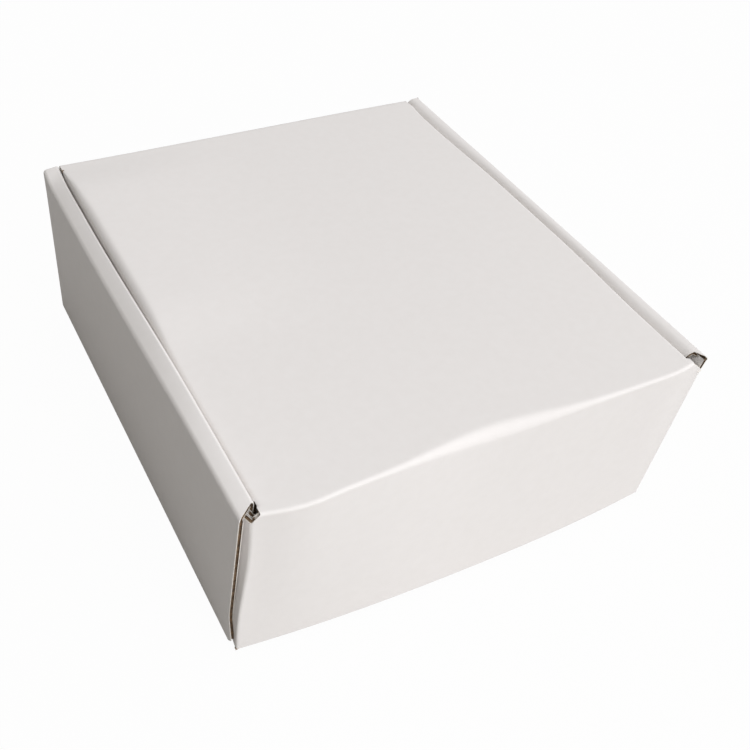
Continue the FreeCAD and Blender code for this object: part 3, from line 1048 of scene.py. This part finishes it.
def place_camera(scene):
    """Camera at the photograph's viewing angle."""
    camera = bpy.data.objects.new("camera", bpy.data.cameras.new("camera"))
    right = CAMERA_RIGHT.normalized()
    back = right.cross(CAMERA_UP).normalized()
    up = back.cross(right)
    camera.matrix_world = Matrix.Translation(CAMERA_PLACE) @ Matrix((right, up, back)).transposed().to_4x4()
    camera.data.sensor_width = CAMERA_SENSOR
    camera.data.lens = CAMERA_LENS
    camera.data.shift_x, camera.data.shift_y = CAMERA_SHIFT
    camera.data.clip_start = CAMERA_NEAR
    scene.collection.objects.link(camera)
    scene.camera = camera


def place_lamp(scene, name, place, size, power):
    """Square soft lamp that faces the middle of the box."""
    lamp = bpy.data.objects.new(name, bpy.data.lights.new(name, "AREA"))
    lamp.data.size = size
    lamp.data.energy = power
    lamp.location = place
    lamp.rotation_euler = (MIDDLE - Vector(place)).to_track_quat("-Z", "Y").to_euler()
    scene.collection.objects.link(lamp)


def build_stage(context):
    """Pale floor, soft light and camera."""
    scene = context.scene
    stage = scene.stage_settings
    bm = bmesh.new()
    bmesh.ops.create_grid(bm, x_segments=1, y_segments=1, size=stage.floor_size / 2)
    mesh = bpy.data.meshes.new("floor")
    bm.to_mesh(mesh)
    bm.free()
    mesh.materials.append(floor_material(stage, scene.paper_colours))
    floor = bpy.data.objects.new("floor", mesh)
    scene.collection.objects.link(floor)
    light_from_all_round(scene, stage, scene.paper_colours)
    place_lamp(scene, "key", KEY_PLACE, stage.key_size, stage.key)
    place_camera(scene)
    scene.view_settings.view_transform = "Standard"


class BuildTray(Operator):
    """Folds the bottom with its double side walls"""
    bl_idname = "mailer.tray"
    bl_label = "Tray"

    def execute(self, context):
        build_tray(context)
        return {"FINISHED"}


class BuildEndWalls(Operator):
    """Folds the front and rear walls with their dust flaps"""
    bl_idname = "mailer.end_walls"
    bl_label = "Front and rear walls"

    def execute(self, context):
        build_end_walls(context)
        return {"FINISHED"}


class BuildRearCrease(Operator):
    """Makes the crease that the lid turns on"""
    bl_idname = "mailer.rear_crease"
    bl_label = "Rear crease"

    def execute(self, context):
        build_rear_crease()
        return {"FINISHED"}


class BuildLid(Operator):
    """Folds the lid with its wings and the closure flap's front"""
    bl_idname = "mailer.lid"
    bl_label = "Lid and closure flap"

    def execute(self, context):
        build_lid(context)
        return {"FINISHED"}


class BuildEars(Operator):
    """Rolls the closure flap's corners back into its ears"""
    bl_idname = "mailer.ears"
    bl_label = "Ears"

    def execute(self, context):
        build_ears(context)
        return {"FINISHED"}


class BuildStage(Operator):
    """Sets the floor, the light and the camera"""
    bl_idname = "mailer.stage"
    bl_label = "Stage"

    def execute(self, context):
        build_stage(context)
        return {"FINISHED"}


OPERATORS = (BuildTray, BuildEndWalls, BuildRearCrease, BuildLid, BuildEars, BuildStage)
SETTINGS = {"board_sizes": BoardSizes, "box_settling": Settling, "paper_colours": PaperColours,
            "stage_settings": StageSettings}


class MailerPanel(Panel):
    """Lists the box's pieces and its sizes"""
    bl_idname = "VIEW3D_PT_mailer_box"
    bl_label = "Mailer box"
    bl_space_type = "VIEW_3D"
    bl_region_type = "UI"
    bl_category = "Mailer box"

    def draw(self, context):
        for operator in OPERATORS:
            self.layout.operator(operator.bl_idname)
        for name in SETTINGS:
            group = getattr(context.scene, name)
            for key in group.__annotations__:
                self.layout.prop(group, key)


def register():
    for part in (*SETTINGS.values(), *OPERATORS, MailerPanel):
        bpy.utils.register_class(part)
    for name, group in SETTINGS.items():
        setattr(bpy.types.Scene, name, PointerProperty(type=group))


def unregister():
    for name in SETTINGS:
        delattr(bpy.types.Scene, name)
    for part in (MailerPanel, *reversed(OPERATORS), *reversed(SETTINGS.values())):
        bpy.utils.unregister_class(part)


def main():
    register()
    bpy.ops.mailer.tray()
    bpy.ops.mailer.end_walls()
    bpy.ops.mailer.rear_crease()
    bpy.ops.mailer.lid()
    bpy.ops.mailer.ears()
    bpy.ops.mailer.stage()


if __name__ == "__main__":
    main()
